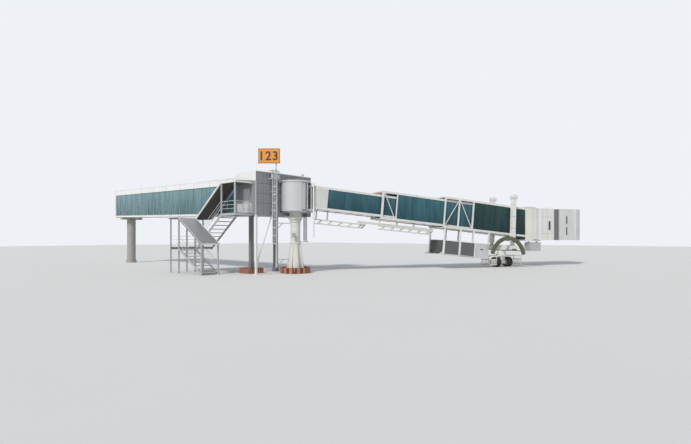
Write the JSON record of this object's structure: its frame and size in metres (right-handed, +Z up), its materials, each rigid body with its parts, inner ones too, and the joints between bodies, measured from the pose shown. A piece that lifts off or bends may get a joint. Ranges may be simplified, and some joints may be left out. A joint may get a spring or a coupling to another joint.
{
  "type": "passenger boarding bridge, 1:2 scale model",
  "caption": "Telescoping glazed boarding tunnel on a rotunda, with lift columns, wheeled bogie, round cab, glazed corridor and roofed outside stair.",
  "frame": {"origin": "centre of the rotunda column's base, on the ground", "axes": "+Z up, +Y along the fixed corridor towards the terminal, +X along the terminal facade; the telescoping tunnel leaves at 26 degrees from +X towards -Y"},
  "size_m": [21.1065, 25.5251, 6.075],
  "materials": {
    "white_paint": "satin",
    "cream_paint": "satin",
    "grey_paint": "satin",
    "dark_steel": "satin",
    "silver_panel": "brushed",
    "galvanised": "matt",
    "bridge_glass": "smooth",
    "concrete": "matt",
    "sign_orange": "satin",
    "cable_black": "matt",
    "hose_olive": "matt",
    "tyre_black": "matt",
    "bellows_grey": "matt"
  },
  "bodies": {
    "fixed_side": {"corridor_frame": "white_paint", "corridor_glass": "bridge_glass", "corridor_pier": "concrete", "box_shell": "grey_paint", "box_wedge": "white_paint", "box_legs": "dark_steel", "slim_post": "white_paint", "landing_door": "grey_paint", "stair_frame": "galvanised", "stair_treads": "dark_steel", "stair_roof": "silver_panel", "stair_rails": "galvanised", "ladder": "galvanised", "sign_mast": "sign_orange", "rotunda_column": "cream_paint", "base_guard": "sign_orange", "rotunda_cap": "silver_panel", "rotunda_wall": "silver_panel", "cable_drop": "cable_black", "cable_tray": "cream_paint"},
    "rotunda_turntable": {"turn_frame": "silver_panel", "turn_curtain": "silver_panel", "conduit": "white_paint"},
    "inner_tunnel": {"tunnel_a_frame": "cream_paint", "pitch_lugs": "cream_paint", "tunnel_a_glass": "bridge_glass", "boom_a": "white_paint"},
    "middle_tunnel": {"tunnel_b_frame": "cream_paint", "tunnel_b_glass": "bridge_glass", "boom_b": "white_paint"},
    "outer_tunnel": {"tunnel_c_frame": "cream_paint", "tunnel_c_glass": "bridge_glass", "unit_posts": "cream_paint", "service_unit": "grey_paint", "lift_outer": "white_paint", "cab_collar": "cream_paint", "cab_locker": "silver_panel"},
    "lift_slide": {"lift_inner": "dark_steel", "hose_arch": "hose_olive"},
    "bogie": {"bogie_frame": "white_paint"},
    "wheel_pair_left": {"wheel_left": "tyre_black"},
    "wheel_pair_right": {"wheel_right": "tyre_black"},
    "cab": {"cab_shell": "cream_paint", "cab_bellows": "bellows_grey", "cab_nose": "silver_panel"}
  },
  "joints": [
    {"name": "rotunda_turn", "type": "hinge", "parent": "fixed_side", "child": "rotunda_turntable", "pos_m": [0, 0, 3.1], "axis": [0, 0, 1], "range_deg": [-30, 8]},
    {"name": "tunnel_pitch", "type": "hinge", "parent": "rotunda_turntable", "child": "inner_tunnel", "pos_m": [0.69059, -0.33682, 3.07552], "axis": [0.4384, 0.8988, 0], "range_deg": [-4.5, 0.6]},
    {"name": "middle_slide", "type": "slide", "parent": "inner_tunnel", "child": "middle_tunnel", "axis": [0.8952, -0.4366, -0.0896], "range_m": [-1.5, 1.5]},
    {"name": "outer_slide", "type": "slide", "parent": "middle_tunnel", "child": "outer_tunnel", "axis": [0.8952, -0.4366, -0.0896], "range_m": [-1.5, 1.5]},
    {"name": "lift_travel", "type": "slide", "parent": "outer_tunnel", "child": "lift_slide", "axis": [-0.0314, 0.0153, -0.9994], "range_m": [-0.14, 0.97]},
    {"name": "bogie_steer", "type": "hinge", "parent": "lift_slide", "child": "bogie", "pos_m": [11.64139, -5.67789, 0.0008], "axis": [0, 0, 1], "range_deg": [-90, 90]},
    {"name": "wheel_left_roll", "type": "hinge", "parent": "bogie", "child": "wheel_pair_left", "pos_m": [11.25491, -5.48939, 0.3], "axis": [0.8988, -0.4384, 0], "continuous": true},
    {"name": "wheel_right_roll", "type": "hinge", "parent": "bogie", "child": "wheel_pair_right", "pos_m": [12.02787, -5.86639, 0.3], "axis": [0.8988, -0.4384, 0], "continuous": true},
    {"name": "cab_turn", "type": "hinge", "parent": "outer_tunnel", "child": "cab", "pos_m": [13.14558, -6.41153, 1.60033], "axis": [0, 0, 1], "range_deg": [-12, 12]}
  ],
  "couplings": [
    {"joint": "outer_slide", "follows": "middle_slide", "ratio": 1},
    {"joint": "lift_travel", "follows": "tunnel_pitch", "m_per_rad": -12.153}
  ]
}
